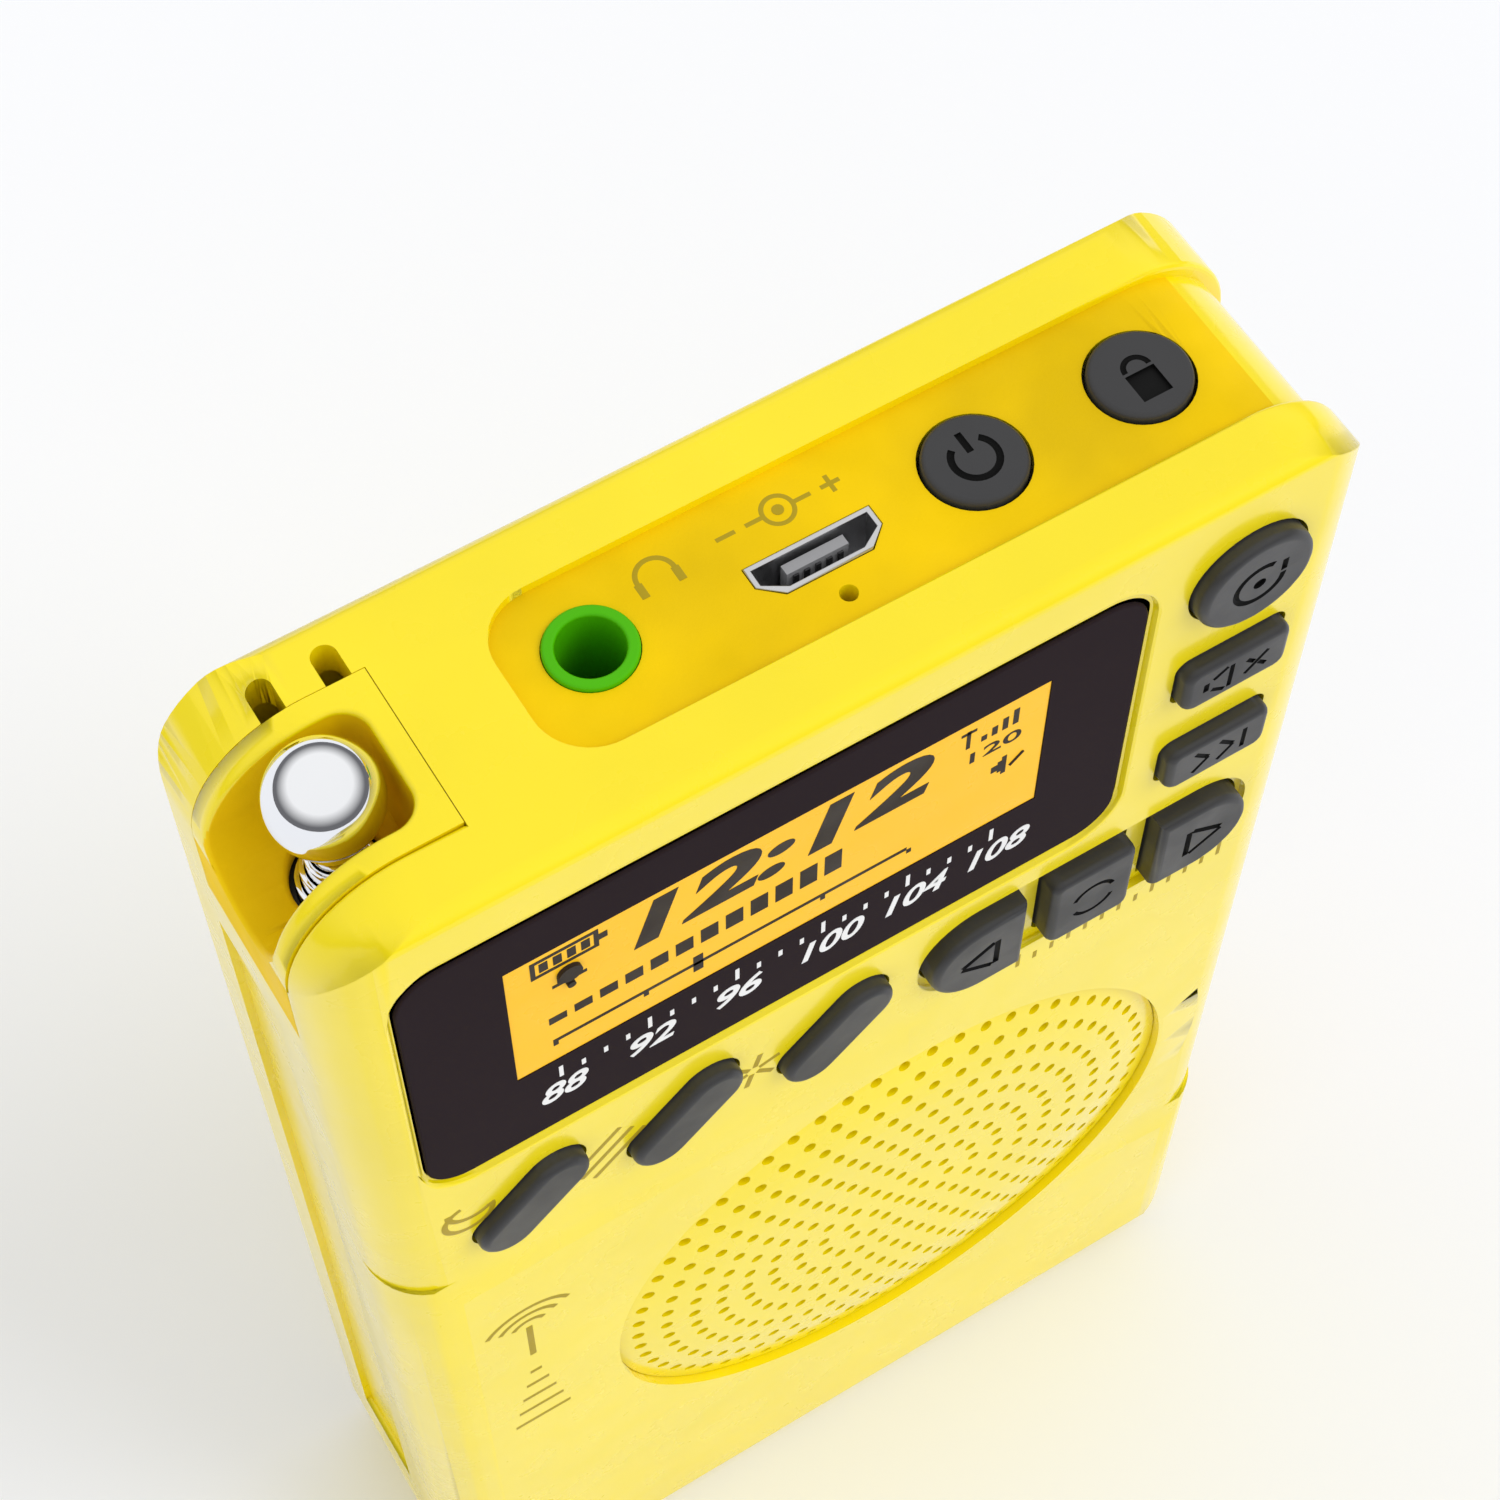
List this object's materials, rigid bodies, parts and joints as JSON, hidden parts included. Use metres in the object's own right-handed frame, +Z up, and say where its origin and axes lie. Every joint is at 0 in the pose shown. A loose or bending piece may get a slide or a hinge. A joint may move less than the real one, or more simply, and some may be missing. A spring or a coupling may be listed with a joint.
{
  "type": "portable radio",
  "caption": "Yellow pocket digital radio with a small dark display, a round pierced speaker grille, grey keys, a telescopic mast and sockets on top.",
  "frame": {"origin": "middle of the bottom face, halfway between the flat front and the back", "axes": "+X to the right seen from the front, +Y from the front to the back, +Z up"},
  "size_m": [0.062, 0.0192, 0.1057],
  "materials": {
    "yellow_plastic": "gloss moulded",
    "grey_plastic": "satin moulded",
    "dark_lens": "clear hard coat, smoked",
    "amber_display": "lit from behind",
    "white_plastic": "matte moulded",
    "black_plastic": "matte moulded",
    "green_plastic": "gloss moulded",
    "black_cloth": "felt",
    "black_paper": "pressed paper",
    "plated_steel": "plated",
    "dark_iron": "coated",
    "green_board": "solder resist",
    "gilt_contact": "plated",
    "chrome": "polished",
    "battery_wrap": "printed sleeve"
  },
  "bodies": {
    "case": {"front_shell": "yellow_plastic", "rear_shell": "yellow_plastic", "antenna_surround": "yellow_plastic", "display_lens": "dark_lens", "lcd_module": "amber_display", "lcd_holder": "white_plastic", "speaker_grille": "yellow_plastic", "dust_cloth": "black_cloth", "speaker_frame": "plated_steel", "speaker_cone": "black_paper", "speaker_magnet": "dark_iron", "main_board": "green_board", "front_key_switches": "plated_steel", "top_key_switches": "plated_steel", "headphone_jack": "green_plastic", "usb_shell": "plated_steel", "usb_tongue": "black_plastic", "usb_contacts": "gilt_contact", "charge_led": "white_plastic", "rf_shield": "plated_steel", "processor_chip": "black_plastic", "antenna_guide": "black_plastic", "battery": "battery_wrap", "battery_contacts": "gilt_contact", "shell_screws": "plated_steel"},
    "mode_key": {"mode_button": "grey_plastic"},
    "mute_key": {"mute_button": "grey_plastic"},
    "scan_key": {"scan_button": "grey_plastic"},
    "tune_down_key": {"tune_down_button": "grey_plastic"},
    "select_key": {"select_button": "grey_plastic"},
    "tune_up_key": {"tune_up_button": "grey_plastic"},
    "sleep_key": {"sleep_button": "grey_plastic"},
    "menu_key": {"menu_button": "grey_plastic"},
    "preset_key": {"preset_button": "grey_plastic"},
    "power_key": {"power_button": "grey_plastic"},
    "lock_key": {"lock_button": "grey_plastic"},
    "door": {"battery_door": "yellow_plastic"},
    "mast_1": {"antenna_foot": "gilt_contact", "antenna_pivot": "plated_steel", "antenna_tube_1": "chrome"},
    "mast_2": {"antenna_tube_2": "chrome"},
    "mast_3": {"antenna_tube_3": "chrome"},
    "mast_4": {"antenna_rod": "chrome", "antenna_tip": "chrome"}
  },
  "joints": [
    {"name": "mode_press", "type": "slide", "parent": "case", "child": "mode_key", "axis": [0, 1, 0], "range_m": [0, 0.0003], "stiffness_N_per_m": 400},
    {"name": "mute_press", "type": "slide", "parent": "case", "child": "mute_key", "axis": [0, 1, 0], "range_m": [0, 0.0003], "stiffness_N_per_m": 400},
    {"name": "scan_press", "type": "slide", "parent": "case", "child": "scan_key", "axis": [0, 1, 0], "range_m": [0, 0.0003], "stiffness_N_per_m": 400},
    {"name": "tune_down_press", "type": "slide", "parent": "case", "child": "tune_down_key", "axis": [0, 1, 0], "range_m": [0, 0.0003], "stiffness_N_per_m": 400},
    {"name": "select_press", "type": "slide", "parent": "case", "child": "select_key", "axis": [0, 1, 0], "range_m": [0, 0.0003], "stiffness_N_per_m": 400},
    {"name": "tune_up_press", "type": "slide", "parent": "case", "child": "tune_up_key", "axis": [0, 1, 0], "range_m": [0, 0.0003], "stiffness_N_per_m": 400},
    {"name": "sleep_press", "type": "slide", "parent": "case", "child": "sleep_key", "axis": [0, 1, 0], "range_m": [0, 0.0003], "stiffness_N_per_m": 400},
    {"name": "menu_press", "type": "slide", "parent": "case", "child": "menu_key", "axis": [0, 1, 0], "range_m": [0, 0.0003], "stiffness_N_per_m": 400},
    {"name": "preset_press", "type": "slide", "parent": "case", "child": "preset_key", "axis": [0, 1, 0], "range_m": [0, 0.0003], "stiffness_N_per_m": 400},
    {"name": "power_press", "type": "slide", "parent": "case", "child": "power_key", "axis": [0, 0, -1], "range_m": [0, 0.0003], "stiffness_N_per_m": 400},
    {"name": "lock_press", "type": "slide", "parent": "case", "child": "lock_key", "axis": [0, 0, -1], "range_m": [0, 0.0003], "stiffness_N_per_m": 400},
    {"name": "door_slide", "type": "slide", "parent": "case", "child": "door", "axis": [0, 0, -1], "range_m": [0, 0.06]},
    {"name": "mast_slide_1", "type": "slide", "parent": "case", "child": "mast_1", "axis": [0, 0, 1], "range_m": [0, 0.076]},
    {"name": "mast_slide_2", "type": "slide", "parent": "mast_1", "child": "mast_2", "axis": [0, 0, 1], "range_m": [0, 0.062]},
    {"name": "mast_slide_3", "type": "slide", "parent": "mast_2", "child": "mast_3", "axis": [0, 0, 1], "range_m": [0, 0.062]},
    {"name": "mast_slide_4", "type": "slide", "parent": "mast_3", "child": "mast_4", "axis": [0, 0, 1], "range_m": [0, 0.062]}
  ]
}
